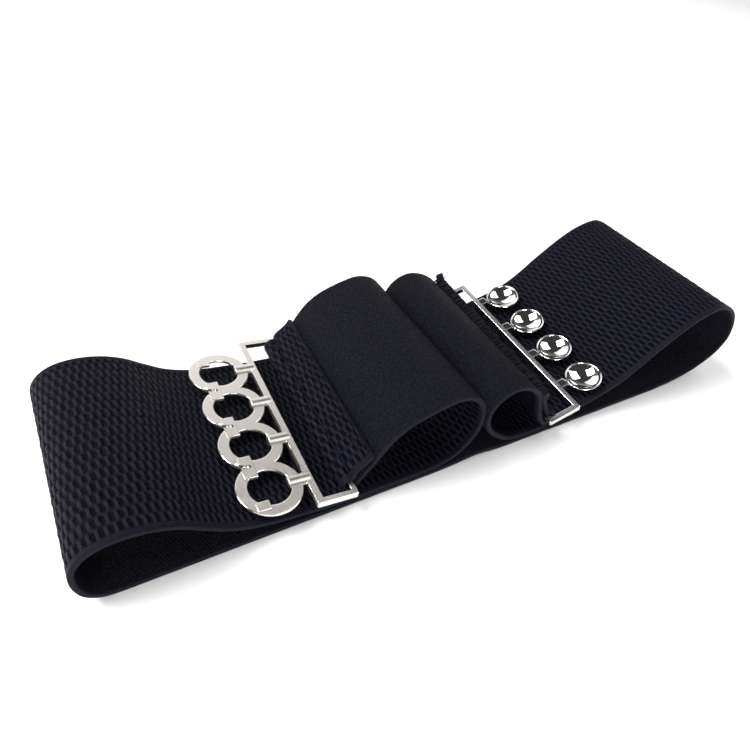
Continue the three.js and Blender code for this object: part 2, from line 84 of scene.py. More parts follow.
# Where the ribbed face shows: past the long bars, not facing down, and on the sewn ends
SHOWN_PAST_BAR = 3.0
STEEPEST_SHOWN = -0.6
RING_RETURN_SHOWN = 21.0
DOME_RETURN_SHOWN = 27.0

# Distances over which the grains fade in, from the band's ends and from its edges
END_FADE = (0.3, 1.2)
STRIP_FADE = (SELVEDGE_STRIP - 0.1, SELVEDGE_STRIP + 0.7)

# The stitches beside the ring end's raw edge
STITCH_PITCH = 3.1
STITCH_LENGTH = 2.5
STITCH_RADIUS = 0.27
STITCH_ROW = 3.2
STITCH_START = 3.0
STITCH_END = 2.0
STITCH_ARCH = 0.16
STITCH_SINK = 0.10
STITCH_SPREAD_ACROSS = 0.05
STITCH_SPREAD_ALONG = 0.12
STITCH_SLANT = 0.25
STITCH_TIP_SHARE = 0.45

# The cut fibres on the ring end's raw edge
FIBRES = 150
FIBRE_RADIUS = 0.06
FIBRE_LENGTHS = (0.35, 1.0)
FIBRE_LEAN = 0.35
FIBRE_BEND = 0.6
FIBRE_MARGIN = 0.6
FIBRE_SIDE = 0.9
FIBRE_ROOT = 0.15
FIBRE_STRAIGHT = 1.5
FIBRE_ROOT_SHARE = 1.2
FIBRE_THINNING = 0.7

# The overlock over the dome end's raw edge
OVERLOCK_LENGTH = 4.2
OVERLOCK_PITCH = 1.15
OVERLOCK_PITCH_SHARES = (0.65, 1.25)
OVERLOCK_RADIUS = 0.3
OVERLOCK_RADIUS_SHARES = (0.75, 1.4)
OVERLOCK_MARGIN = 0.9

# Points of one overlock loop on either face: distance back from the raw edge, and lift off the band
LOOP_ROWS = ((OVERLOCK_LENGTH, 0.02), (OVERLOCK_LENGTH * 0.55, 0.12), (0.5, 0.1))

# How many slants a loop's points lie across, going out on the ribbed face, round the edge and back in
LOOP_OUT = (0, 1, 2)
LOOP_ROUND = 2.6
LOOP_BACK = (3.2, 3.6, 4.0)
LOOP_SLANT = 0.6
LOOP_SLANT_SPREAD = 0.4
LOOP_SPREAD = 0.08
LOOP_CLEARANCE = 0.42

# The chains of thread along the overlock: distance back from the raw edge, and face
CHAINS = ((OVERLOCK_LENGTH + 0.1, 1.0), (OVERLOCK_LENGTH * 0.5, 1.0), (OVERLOCK_LENGTH, -1.0))
CHAIN_RADIUS = OVERLOCK_RADIUS * 0.9
CHAIN_MARGIN = 0.8
CHAIN_STEP = 0.55
CHAIN_SWAY = 0.22
CHAIN_LIFT = 0.08
CHAIN_WAVE = 0.07

# The fluff between the overlock's threads
FLUFF_MARGIN = 1.5
FLUFF_STEP = 0.9
FLUFF_REACH = 2.2
FLUFF_LIFT = 0.1
FLUFF_SPREAD = 0.1
FLUFF_RADII = (0.3, 0.55)

# The knob and the loose thread at the overlock's far corner
KNOB_LUMPS = 14
KNOB_RADIUS = 1.7
KNOB_RADIUS_SHARES = (0.45, 0.8)
KNOB_FROM_END = 1.0
KNOB_FROM_EDGE = 0.6
KNOB_LIFT = 0.2
KNOB_SHIFT = np.array([-1.2, 0.9, 0.9])
KNOB_SPREAD = 0.4
LOOSE_REACH = np.array([3.2, 1.0, 1.8])
LOOSE_BEND = np.array([1.6, 2.4, -0.8])
LOOSE_RADIUS = 0.22
LOOSE_THINNING = 0.1

# The frame that both clasp halves share; x runs from the hidden bar towards the hooks, y along the bars
BAR_WIDTH = 2.05
BAR_HEIGHT = 2.2
FRAME_REACH = 11.9
FRAME_HALF = 40.375
FRAME_CORNER = 0.6
CORNER_STEPS = 5
RING_BAR_EXTRA = 0.42
EDGE_BEVEL = 0.2
BEVEL_SHOULDER = EDGE_BEVEL * 0.3
BEVEL_SLOPES = (0.2, 0.97)
JOIN_DISTANCE = 0.002
HOOKS = 4
HOOK_PITCH = 18.7

# The ring half
RING_X = 25.125
RING_SHIFT = 1.9
RING_OUTER = 10.7
RING_HOLE = 6.94
RING_ARC_POINTS = 40
HOLE_SIDES = 72
PLATE_BOTTOM = -0.45
PLATE_TOP = 0.5
TAB_START = 27.125
TAB_END = 31.525
TAB_HALF = 4.5
END_TAB_INSET = TAB_HALF / 4
TAB_BOTTOM = PLATE_BOTTOM + 0.05
TAB_TOP = 0.82
TAB_BEVEL = 0.14
BRIDGE_START = 11.9
BRIDGE_END = 19.085
BRIDGE_WIDTH = 4.8
BRIDGE_HEIGHT = 2.7
BRIDGE_MIDDLE = 0.2
BRIDGE_TIP = 0.25
BRIDGE_TIP_SHARE = 0.86
BRIDGE_SIDES = 24

# The dome half
DOME_X = 25.125
DOME_SHIFT = -0.45
DOME_RADIUS = 7.15
DOME_DEPTH = 2.7
DOME_WALL = 0.8
DOME_RIM = -2.7
DOME_SIDES = 56
DOME_POLE = 0.02
RIM_BEAD = 0.34
RIM_LIFT = 0.05
RIM_START = -0.5
RIM_END = math.pi + 0.2
GROOVE_WIDTH = 0.62
GROOVE_FLOOR = GROOVE_WIDTH * 0.55
GROOVE_DEPTH = 0.16
ARM_WIDTH = 4.0
ARM_THICKNESS = 1.3
ARM_DROP = 0.15
ARM_LIP = 0.5
ARM_LIP_HEIGHT = 0.3
ARM_LIP_SLOPE = 0.15
ARM_BEVEL_BELOW = 0.15
ARM_BEVEL_ABOVE = 0.12
CRISP_ANGLE = math.radians(17)

# Material numbers: the band's, the two that both clasp halves start with, and what each half adds
RIBBED, RIBBED_FAR, KNIT, SELVEDGE = range(4)
PLAIN, EDGE = range(2)
BRUSHED_PAINTED_SHADE, PAINTED_SHADE = 2, 3
NEAR_BLACK, SATIN = 2, 3

# The marks on a tab: place from its outer edge, middle and top, then sizes, turn and material number; each
# bright bump lies on a wider, flatter near-black one that is painted shade
TAB_MARKS = (
    ((-0.25, -1.15, -0.12), (2.35, 0.95, 0.22), -0.72, PAINTED_SHADE),
    ((-0.2, -1.25, -0.12), (2.1, 0.62, 0.5), -0.72, EDGE),
    ((-2.6, -0.2, -0.1), (1.0, 0.85, 0.2), -0.3, PAINTED_SHADE),
    ((-2.5, -0.1, -0.1), (0.5, 0.5, 0.42), -0.3, EDGE),
)

# The cloths' darkest and lightest colours, and the thread's one colour; the ribbed face's darker colour in
# the gaps between its grains is painted shade
RIBBED_TONE_AND_GAP_SHADE = ((0.0009, 0.0009, 0.0020), (0.0092, 0.0097, 0.0174))
KNIT_COLOURS = ((0.0046, 0.0046, 0.0080), (0.0096, 0.0096, 0.0150))
SELVEDGE_COLOURS = ((0.0040, 0.0042, 0.0074), (0.0066, 0.0069, 0.0114))
THREAD_COLOUR = (0.0034, 0.0034, 0.0046)
SHEEN_TINT = (0.72, 0.78, 1.0)
KNIT_ROW = 1.05
KNIT_COLUMN = 2.6
BLACK = (0.0, 0.0, 0.0)
WHITE = (1.0, 1.0, 1.0)

# The floor, in metres, a hair below the band
FLOOR_SIZE = 6.0
FLOOR_DROP = 0.0002
FLOOR_COLOUR = (0.97, 0.97, 0.97)

# Brightness of the surroundings at heights from the horizon, 0, to straight up, 1
SKY = ((0.0, 1.2), (0.24, 0.8), (0.44, 0.22), (0.72, 0.06), (1.0, 0.05))
SKY_TINT = (0.99, 1.0, 1.01)

# The lights: name, place, target and two sizes in metres, and power in watts
LIGHTS = (
    ("lamp_above", (-1.3, 0.72, 1.9), (0, 0, 0), (1.3, 1.3), 77.0),
    ("lamp_front", (-0.45, -1.1, 0.3), (0, 0, 0.02), (0.6, 0.3), 17.0),
    ("softbox", (0.82, -0.10, 1.30), (0.06, 0, 0.01), (0.95, 0.95), 8.5),
    ("white_wall", (0.08, 1.35, 0.62), (0.04, 0, 0.01), (1.3, 1.3), 6.4),
)

# The camera that the photograph was taken with, its place and sensor in millimetres
CAMERA_PLACE = (-119.891, -137.967, 166.247)
CAMERA_AZIMUTH = math.radians(-34.9493)
CAMERA_ELEVATION = math.radians(41.7022)
CAMERA_ROLL = math.radians(9.1716)
PICTURE_WIDTH = 750
FOCAL_PIXELS = 603.2702
SENSOR_WIDTH = 36.0
NEAREST_SEEN = 5.0

random = np.random.default_rng(7)


def link(item):
    """Puts an object into the scene."""
    bpy.context.scene.collection.objects.link(item)
    return item


def unit(vectors):
    """Vectors scaled to length one, along the last axis."""
    return vectors / np.maximum(np.linalg.norm(vectors, axis=-1, keepdims=True), 1e-12)


def blend_in(value, low, high):
    """0 below low, 1 above high and a smooth rise between them."""
    share = np.clip((value - low) / (high - low), 0, 1)
    return share * share * (3 - 2 * share)


def circle_angles(sides):
    """Evenly spaced angles once round."""
    return np.arange(sides) * 2 * math.pi / sides


def corner_mesh(node):
    """A CAD node's corner points in mm with doubles joined, and its triangles."""
    mesh = node.data
    mesh.calc_loop_triangles()
    flat = np.empty(len(mesh.vertices) * 3)
    mesh.vertices.foreach_get("co", flat)
    points, index = np.unique(np.round(flat.reshape(-1, 3) / MM, 4), axis=0, return_inverse=True)
    corners = np.empty(len(mesh.loop_triangles) * 3, int)
    mesh.loop_triangles.foreach_get("vertices", corners)
    return points, index.ravel()[corners].reshape(-1, 3)


def face_crosses(points, triangles):
    """Normals of triangles, each as long as twice its triangle's area."""
    a, b, c = (points[triangles[:, k]] for k in range(3))
    return np.cross(b - a, c - a)


def edge_loop(triangles):
    """The closed line of points round one patch of triangles, in order."""
    edges, uses = np.unique(
        np.sort(np.concatenate([triangles[:, [k, (k + 1) % 3]] for k in range(3)]), axis=1),
        axis=0,
        return_counts=True,
    )
    beside = {}
    for a, b in edges[uses == 1].tolist():
        beside.setdefault(a, []).append(b)
        beside.setdefault(b, []).append(a)
    start = min(beside)
    loop = [start, beside[start][0]]
    for _ in range(len(beside) - 2):
        ahead = [k for k in beside[loop[-1]] if k != loop[-2]]
        loop.append(ahead[0])
    return loop


def selvedge_lines(points, triangles, side):
    """The two long edges of one selvedge, point by point: the ribbed face's, then the inner face's."""
    normals = unit(face_crosses(points, triangles))
    on_side = points[triangles[:, 0], 1] * side > 0
    loop = points[edge_loop(triangles[(np.abs(normals[:, 1]) > 0.9) & on_side])]
    before = unit(loop - np.roll(loop, 1, axis=0))
    square = np.abs((before * np.roll(before, -1, axis=0)).sum(axis=1)) < 0.5
    ends = np.flatnonzero(square & np.roll(square, -1))
    loop = np.roll(loop, -(ends[0] + 1), axis=0)
    half = len(loop) // 2
    one, other = loop[:half], loop[half:][::-1]
    if one[0][0] > one[-1][0]:
        one, other = one[::-1], other[::-1]
    lowest = np.argmin(one[:, 2] + other[:, 2])
    if one[lowest, 2] > other[lowest, 2]:
        one, other = other, one
    return one, other


def band_lay(node):
    """How the band lies: both selvedges' middle lines, ways out of the ribbed face and thicknesses."""
    points, triangles = corner_mesh(node)
    lay = {}
    for name, side in (("near", -1), ("far", 1)):
        ribbed, inner = selvedge_lines(points, triangles, side)
        lay[name] = (ribbed + inner) / 2
        lay[name + "_out"] = unit(ribbed - inner)
        lay[name + "_thick"] = np.linalg.norm(ribbed - inner, axis=1) / SELVEDGE_FLAT_SHARE
    middle = (lay["near"] + lay["far"]) / 2
    steps = np.linalg.norm(np.diff(middle, axis=0), axis=1)
    lay["along"] = np.concatenate([[0], np.cumsum(steps)])
    lay["middle"] = middle
    lay["out"] = unit(lay["near_out"] + lay["far_out"])
    return lay


def curve_through(along, values, at):
    """A smooth curve through values at distances along, read at other distances."""
    values = values.reshape(len(along), -1)
    slopes = np.gradient(values, along, axis=0)
    low = np.clip(np.searchsorted(along, at, side="right") - 1, 0, len(along) - 2)
    span = (along[low + 1] - along[low])[:, None]
    t = (at - along[low])[:, None] / span
    return (
        (2 * t**3 - 3 * t**2 + 1) * values[low]
        + (t**3 - 2 * t**2 + t) * span * slopes[low]
        + (3 * t**2 - 2 * t**3) * values[low + 1]
        + (t**3 - t**2) * span * slopes[low + 1]
    )


def edges_at(lay, along):
    """Both selvedges at distances along the band: middle lines, ways out and thicknesses."""
    known = lay["along"]
    lines = [curve_through(known, lay[key], along) for key in ("near", "far", "near_out", "far_out")]
    thick = [np.interp(along, known, lay[key])[:, None] for key in ("near_thick", "far_thick")]
    return (*lines, *thick)


def on_band(lay, along, across, side, lift=0.0):
    """Points lifted off the ribbed face (side 1), the inner face (side -1) or the middle (side 0)."""
    along, across = (np.asarray(k, float).ravel() for k in np.broadcast_arrays(along, across))
    near, far, near_out, far_out, near_thick, far_thick = edges_at(lay, along)
    share = (across / BAND_WIDTH)[:, None]
    out = unit(near_out * (1 - share) + far_out * share)
    half = (near_thick * (1 - share) + far_thick * share) / 2
    lift = np.broadcast_to(lift, len(along))[:, None] * (1 if side >= 0 else -1)
    return near * (1 - share) + far * share + out * (half * side + lift)


def ribs_shown(lay, ring_bar, dome_bar):
    """Whether the ribbed face is in view at each of the lay's points."""
    x = lay["middle"][:, 0]
    along = lay["along"]
    upward = lay["out"][:, 2] > STEEPEST_SHOWN
    beyond = (x < ring_bar + SHOWN_PAST_BAR) | (x > dome_bar - SHOWN_PAST_BAR)
    sewn = (along < RING_RETURN_SHOWN) | (along > along[-1] - DOME_RETURN_SHOWN)
    return (upward & beyond) | sewn


def station_list(lay, shown):
    """Distances along the band where it gets a cross-section, closer together where ribs are modelled."""
    along = lay["along"]
    out = lay["out"]
    stations = [along[:1]]
    for k in range(len(along) - 1):
        span = along[k + 1] - along[k]
        turn = math.acos(float(np.clip(out[k] @ out[k + 1], -1, 1)))
        step = GRAIN_STEP if shown[k] or shown[k + 1] else PLAIN_STEP
        count = max(1, math.ceil(span / step), math.ceil(turn / SHARPEST_STEP))
        stations.append(np.linspace(along[k], along[k + 1], count + 1)[1:])
    return np.concatenate(stations)


def grain_height(u, v):
    """Height from 0 to 1 of the woven grains at u along and v across the band."""
    by_column, by_row, by_shift, over_all = SCATTER
    height = np.zeros(np.broadcast(u, v).shape)
    lean = u - GRAIN_LEAN * v
    for shift in (0.0, 0.5):
        column = np.round(lean / GRAIN_PITCH - shift)
        row = np.round(v / (2 * GRAIN_ROW) - shift)
        du = (lean - (column + shift) * GRAIN_PITCH) / GRAIN_HALF_WIDTH
        dv = (v - (row + shift) * 2 * GRAIN_ROW) / GRAIN_HALF_LENGTH
        odd = np.sin(column * by_column + row * by_row + shift * by_shift) * over_all
        strength = GRAIN_LOWEST + GRAIN_UNEVEN * (odd - np.floor(odd))
        inside = np.clip(1 - np.abs(du) ** GRAIN_WIDTH_POWER - np.abs(dv) ** GRAIN_LENGTH_POWER, 0, 1)
        height = np.maximum(height, strength * inside**GRAIN_FLATNESS)
    return height


def across_columns():
    """Distances across the band of the ribbed face's columns."""
    edge = np.linspace(EDGE_ROUNDING, SELVEDGE_STRIP, EDGE_COLUMNS)
    count = round((BAND_WIDTH - 2 * SELVEDGE_STRIP) / COLUMN_STEP)
    inner = np.linspace(SELVEDGE_STRIP, BAND_WIDTH - SELVEDGE_STRIP, count + 1)[1:-1]
    return np.concatenate([edge, inner, BAND_WIDTH - edge[::-1]])


def band_profile():
    """The band's cross-section in turn: distance across and side in half thicknesses, and its kinds."""
    ribbed = [(v, 1.0) for v in across_columns()]
    far_round = [(BAND_WIDTH - v, side) for v, side in SELVEDGE_ROUND]
    inner = [(v, -1.0) for v in np.linspace(BAND_WIDTH - EDGE_ROUNDING, EDGE_ROUNDING, INNER_COLUMNS)]
    near_round = list(SELVEDGE_ROUND[::-1])
    stretches = (("ribbed", ribbed), ("round", far_round), ("inner", inner), ("round", near_round))
    profile = [point for _, stretch in stretches for point in stretch]
    kinds = [kind for kind, stretch in stretches for _ in stretch]
    return np.array(profile), kinds


def mesh_object(name, points, faces, materials, slots, weave=None):
    """A mesh object from points in mm, with a material number for each face and a UV map for the weave."""
    mesh = bpy.data.meshes.new(name)
    mesh.from_pydata((np.asarray(points) * MM).tolist(), [], faces)
    for material in materials:
        mesh.materials.append(material)
    mesh.polygons.foreach_set("material_index", np.asarray(slots, np.int32))
    mesh.polygons.foreach_set("use_smooth", np.ones(len(mesh.polygons), bool))
    if weave is not None:
        corners = np.empty(len(mesh.loops), np.int32)
        mesh.loops.foreach_get("vertex_index", corners)
        layer = mesh.uv_layers.new(name="weave")
        layer.data.foreach_set("uv", np.asarray(weave, np.float32)[corners].ravel())
    shape = bmesh.new()
    shape.from_mesh(mesh)
    bmesh.ops.recalc_face_normals(shape, faces=shape.faces)
    shape.to_mesh(mesh)
    shape.free()
    mesh.update()
    return link(bpy.data.objects.new(name, mesh))


def band_points(lay, stations, shown, profile):
    """Points of every cross-section, and their places on the weave."""
    u = stations[:, None]
    v = profile[:, 0][None, :]
    side = profile[:, 1][None, :]
    near, far, near_out, far_out, near_thick, far_thick = edges_at(lay, stations)
    share = v / BAND_WIDTH
    half = (near_thick * (1 - share) + far_thick * share) / 2
    strength = np.interp(stations, lay["along"], shown.astype(float))
    from_end = np.minimum(stations, stations[-1] - stations)
    strength = (blend_in(strength, 0.0, 1.0) * blend_in(from_end, *END_FADE))[:, None]
    woven = blend_in(np.minimum(v, BAND_WIDTH - v), *STRIP_FADE)
    carve = GRAIN_DEPTH * (1 - grain_height(u, v)) * woven + SELVEDGE_DROP * (1 - woven)
    carve = carve * strength * (side == 1)
    offset = side * half - carve
    share = share[..., None]
    out = unit(near_out[:, None, :] * (1 - share) + far_out[:, None, :] * share)
    points = near[:, None, :] * (1 - share) + far[:, None, :] * share + out * offset[..., None]
    points[..., 2] = np.maximum(points[..., 2], 0.0)
    return points, np.stack(np.broadcast_arrays(u, v), -1)


def band_slots(profile, kinds, modelled):
    """Material numbers of the band's faces, a row for each stretch between two cross-sections."""
    from_edge = np.minimum(profile[:, 0], BAND_WIDTH - profile[:, 0])
    slots = np.full((len(modelled), len(kinds)), SELVEDGE)
    for j, kind in enumerate(kinds):
        after = (j + 1) % len(kinds)
        strip = min(from_edge[j], from_edge[after]) < SELVEDGE_STRIP - 0.01
        if kind == kinds[after] == "ribbed" and not strip:
            slots[:, j] = np.where(modelled, RIBBED, RIBBED_FAR)
        elif kind == kinds[after] == "inner":
            slots[:, j] = KNIT
    return slots


def woven_band():
    """The whole band as one closed sheet, with its grains modelled where they are seen."""
    lay = band_lay(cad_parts["elastic_band"])
    ring_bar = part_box("ring_clasp")[1][0] / MM
    dome_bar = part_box("dome_clasp")[0][0] / MM
    shown = ribs_shown(lay, ring_bar, dome_bar)
    stations = station_list(lay, shown)
    profile, kinds = band_profile()
    points, weave = band_points(lay, stations, shown, profile)
    index = np.arange(len(stations) * len(kinds)).reshape(len(stations), -1)
    turned = np.roll(index, -1, axis=1)
    quads = np.stack([index[:-1], turned[:-1], turned[1:], index[1:]], -1).reshape(-1, 4)
    faces = quads.tolist() + [index[0].tolist(), index[-1][::-1].tolist()]
    modelled = np.interp((stations[:-1] + stations[1:]) / 2, lay["along"], shown.astype(float)) > 0.5
    slots = np.append(band_slots(profile, kinds, modelled), [SELVEDGE, SELVEDGE])
    band = mesh_object("woven_band", points.reshape(-1, 3), faces, cloths, slots, weave.reshape(-1, 2))
    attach(band, "root")
    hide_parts("elastic_band")
    return band, lay


def ring_faces(rows, columns, closed=False):
    """Faces between rows of points, each row a closed ring; closed joins the last row to the first."""
    faces = []
    for i in range(rows if closed else rows - 1):
        below, above = i * columns, (i + 1) % rows * columns
        for j in range(columns):
            k = (j + 1) % columns
            faces.append([below + j, below + k, above + k, above + j])
    return faces


def end_faces(rows, columns):
    """The two faces that close the first and the last row."""
    return [list(range(columns))[::-1], [(rows - 1) * columns + k for k in range(columns)]]


def tube(path, radii, sides):
    """Points and faces of a round closed tube along a path, with a radius at each of its points."""
    path = np.asarray(path, float)
    ahead = unit(np.gradient(path, axis=0))
    guess = np.array([0.0, 0.0, 1.0]) if abs(ahead[0][2]) < 0.9 else np.array([1.0, 0.0, 0.0])
    sideways = [unit(np.cross(ahead[0], guess))]
    for way in ahead[1:]:
        sideways.append(unit(sideways[-1] - way * (sideways[-1] @ way)))
    sideways = np.array(sideways)
    third = np.cross(ahead, sideways)
    angles = circle_angles(sides)[:, None]
    radii = np.broadcast_to(radii, len(path))[:, None, None]
    ring = sideways[:, None, :] * np.cos(angles) + third[:, None, :] * np.sin(angles)
    points = (path[:, None, :] + ring * radii).reshape(-1, 3)
    return points, ring_faces(len(path), sides) + end_faces(len(path), sides)


def lump(centre, radius, sides=8):
    """Points and faces of a ball, cut off a little at its poles."""
    pole = 0.25
    rows = [(math.sin(a), -math.cos(a)) for a in np.linspace(pole, math.pi - pole, sides // 2 + 2)]
    points = [
        centre + radius * np.array([across * math.cos(a), across * math.sin(a), height])
        for across, height in rows
        for a in circle_angles(sides)
    ]
    return np.array(points), ring_faces(len(rows), sides) + end_faces(len(rows), sides)


class Parts:
    """Closed shapes gathered into one mesh."""

    def __init__(self):
        self.points = []
        self.faces = []
        self.slots = []
        self.count = 0

    def add(self, points, faces, slots=PLAIN):
        """Adds one shape; slots is its material number, or one for each face."""
        self.points.append(np.asarray(points, float))
        self.faces += [[k + self.count for k in face] for face in faces]
        self.slots += slots if isinstance(slots, list) else [slots] * len(faces)
        self.count += len(points)

    def finish(self, name, materials, place=None):
        """Makes the object; a clasp's place turns and moves its points, and its edges stay crisp."""
        points = np.concatenate(self.points)
        if place is not None:
            turn, origin = place
            points = points @ turn + origin
        item = mesh_object(name, points, self.faces, materials, self.slots)
        if place is not None:
            item.data.set_sharp_from_angle(angle=CRISP_ANGLE)
        return item


def lay_cloth(item):
    """Lets a piece of sewing ride with the belt."""
    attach(item, "root")
    return item


def stitch_row(lay, material):
    """The line of stitches beside the ring end's raw edge."""
    parts = Parts()
    share = np.linspace(0, 1, 7)
    arch = np.sin(math.pi * share)
    radii = STITCH_RADIUS * (STITCH_TIP_SHARE + (1 - STITCH_TIP_SHARE) * arch)
    across = STITCH_START
    while across + STITCH_LENGTH < BAND_WIDTH - STITCH_END:
        v = across + share * STITCH_LENGTH + random.normal(0, STITCH_SPREAD_ACROSS)
        u = STITCH_ROW + random.normal(0, STITCH_SPREAD_ALONG) + share * random.normal(0, STITCH_SLANT)
        path = on_band(lay, u, v, 1.0, STITCH_ARCH * arch - STITCH_SINK)
        parts.add(*tube(path, radii, 8))
        across += STITCH_PITCH
    return lay_cloth(parts.finish("ring_end_stitches", [material]))


def overlock_loop(lay, across):
    """One loop of thread out along the ribbed face, round the raw edge and in along the inner face."""
    end = lay["along"][-1]
    slant = random.normal(LOOP_SLANT, LOOP_SLANT_SPREAD)
    path = []
    for (back, lift), slants in zip(LOOP_ROWS, LOOP_OUT):
        u = end - back + random.normal(0, LOOP_SPREAD)
        path.append(on_band(lay, u, across + slant * slants, 1.0, lift)[0])
    outward = unit(on_band(lay, end, across, 0.0) - on_band(lay, end - 1.0, across, 0.0))[0]
    path.append(on_band(lay, end, across + slant * LOOP_ROUND, 0.0)[0] + outward * LOOP_CLEARANCE)
    for (back, lift), slants in zip(LOOP_ROWS[::-1], LOOP_BACK):
        path.append(on_band(lay, end - back, across + slant * slants, -1.0, lift)[0])
    steps = np.arange(len(path), dtype=float)
    smooth_path = curve_through(steps, np.array(path), np.linspace(0, len(path) - 1, 22))
    return tube(smooth_path, OVERLOCK_RADIUS * random.uniform(*OVERLOCK_RADIUS_SHARES), 6)


def overlock_chain(lay, back, side):
    """One wavy thread that runs along the whole overlock."""
    v = np.arange(CHAIN_MARGIN, BAND_WIDTH - CHAIN_MARGIN, CHAIN_STEP)
    turns = v * 2 * math.pi / OVERLOCK_PITCH
    u = lay["along"][-1] - back + CHAIN_SWAY * np.sin(turns / 2)
    return tube(on_band(lay, u, v, side, CHAIN_LIFT + CHAIN_WAVE * np.cos(turns)), CHAIN_RADIUS, 6)


def overlock_fluff(parts, lay):
    """Small lumps of worn thread between the loops, on both faces."""
    end = lay["along"][-1]
    for v in np.arange(FLUFF_MARGIN, BAND_WIDTH - FLUFF_MARGIN, FLUFF_STEP):
        u = end - random.uniform(0.0, FLUFF_REACH)
        place = on_band(lay, u, v, random.choice([-1.0, 1.0]), FLUFF_LIFT)[0]
        parts.add(*lump(place + random.normal(0, FLUFF_SPREAD, 3), random.uniform(*FLUFF_RADII)))


def overlock_knob(parts, lay):
    """The knot of thread at the overlock's far corner, with one thread that sticks out."""
    u = lay["along"][-1] - KNOB_FROM_END
    corner = on_band(lay, u, BAND_WIDTH - KNOB_FROM_EDGE, 1.0, KNOB_LIFT)[0]
    for _ in range(KNOB_LUMPS):
        centre = corner + KNOB_SHIFT + random.normal(0, KNOB_SPREAD, 3)
        parts.add(*lump(centre, KNOB_RADIUS * random.uniform(*KNOB_RADIUS_SHARES)))
    share = np.linspace(0, 1, 16)
    loose = corner + np.outer(share, LOOSE_REACH) + np.outer(share**2, LOOSE_BEND)
    parts.add(*tube(loose, LOOSE_RADIUS - LOOSE_THINNING * share, 6))


def overlock(lay, material):
    """All the thread over the dome end's raw edge."""
    parts = Parts()
    across = OVERLOCK_MARGIN
    while across < BAND_WIDTH - OVERLOCK_MARGIN:
        parts.add(*overlock_loop(lay, across))
        across += OVERLOCK_PITCH * random.uniform(*OVERLOCK_PITCH_SHARES)
    for back, side in CHAINS:
        parts.add(*overlock_chain(lay, back, side))
    overlock_fluff(parts, lay)
    overlock_knob(parts, lay)
    return lay_cloth(parts.finish("overlock", [material]))


def raw_fibres(lay, material):
    """Cut fibres that stand out of the ring end's raw edge."""
    parts = Parts()
    share = np.linspace(0, 1, 4)[:, None]
    radii = FIBRE_RADIUS * (FIBRE_ROOT_SHARE - FIBRE_THINNING * share.ravel())
    for _ in range(FIBRES):
        across = random.uniform(FIBRE_MARGIN, BAND_WIDTH - FIBRE_MARGIN)
        side = random.uniform(-FIBRE_SIDE, FIBRE_SIDE)
        root = on_band(lay, FIBRE_ROOT, across, side)[0]
        outward = unit(root - on_band(lay, FIBRE_STRAIGHT, across, side)[0])
        length = random.uniform(*FIBRE_LENGTHS)
        lean = random.normal(0, FIBRE_LEAN, 3)
        path = root + share * length * (outward + 0.2 * lean) + share**2 * length * FIBRE_BEND * lean
        parts.add(*tube(path, radii, 4))
    return lay_cloth(parts.finish("raw_edge_fibres", [material]))


def widest_way(crosses, chosen):
    """The direction that most of the chosen faces' area looks in."""
    crosses = crosses[chosen]
    _, index = np.unique(np.round(unit(crosses), 2), axis=0, return_inverse=True)
    areas = np.bincount(index.ravel(), weights=np.linalg.norm(crosses, axis=1))
    return unit(crosses[index.ravel() == np.argmax(areas)].sum(axis=0))


def clasp_place(node, towards):
    """Where a clasp half lies: the turn of its own axes and its origin in the middle of the hidden bar."""
    points, triangles = corner_mesh(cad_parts[node])
    crosses = face_crosses(points, triangles)
    normals = unit(crosses)
    top = widest_way(crosses, normals[:, 2] > 0.8)
    ahead = widest_way(crosses, (np.abs(normals @ top) < 0.02) & (normals[:, 0] * towards > 0.5))
    ahead = unit(ahead - top * (ahead @ top))
    turn = np.array([ahead, np.cross(top, ahead), top])
    own = points @ turn.T
    start = own[:, 0].min() + BAR_WIDTH / 2
    bar = own[own[:, 0] < start + BAR_WIDTH]
    middle = (bar.max(axis=0) + bar.min(axis=0)) / 2
    return turn, np.array([start, middle[1], middle[2]]) @ turn


def bar_section(groove):
    """The section of the frame's bars in turn: distance outwards from a bar's middle, and height."""
    half, rise, bevel, shoulder = BAR_WIDTH / 2, BAR_HEIGHT / 2, EDGE_BEVEL, BEVEL_SHOULDER
    section = [(half, bevel - rise), (half, rise - bevel)]
    section += [(half - shoulder, rise - shoulder), (half - bevel, rise)]
    if groove:
        wide, narrow, floor = GROOVE_WIDTH / 2, GROOVE_FLOOR / 2, rise - GROOVE_DEPTH
        section += [(wide, rise), (narrow, floor), (-narrow, floor), (-wide, rise)]
    section += [(bevel - half, rise), (shoulder - half, rise - shoulder), (-half, rise - bevel)]
    return section + [(-half, bevel - rise), (bevel - half, -rise), (half - bevel, -rise)]


def clasp_frame(parts, groove, extra, material):
    """The rectangular frame, round four corners; extra widens the bar beside the hooks."""
    half = BAR_WIDTH / 2
    section = bar_section(groove)
    points = []
    for way_x, way_y, start in ((1, -1, -90), (1, 1, 0), (-1, 1, 90), (-1, -1, 180)):
        middle = (FRAME_REACH / 2 * (1 + way_x), FRAME_HALF * way_y)
        for step in range(CORNER_STEPS):
            angle = math.radians(start + 90 * step / (CORNER_STEPS - 1))
            for outward, height in section:
                round_off = FRAME_CORNER * max(0.0, outward) / half
                x = middle[0] + way_x * (outward - round_off) + round_off * math.cos(angle)
                x += extra * (way_x > 0) * blend_in(outward, -half, half)
                y = middle[1] + way_y * (outward - round_off) + round_off * math.sin(angle)
                points.append((x, y, height))
    count = len(section)
    faces = ring_faces(4 * CORNER_STEPS, count, closed=True)
    # The rounded edges, and the side that looks into the window
    bright = {1, 2, count - 5, count - 4, count - 3, count - 1}
    slots = [EDGE if k % count in bright else material for k in range(len(faces))]
    parts.add(points, faces, slots)


def arc(centre, radius, start, end, steps):
    """Points on an arc, angles in radians."""
    angles = np.linspace(start, end, steps)
    return np.stack([centre[0] + radius * np.cos(angles), centre[1] + radius * np.sin(angles)], -1)


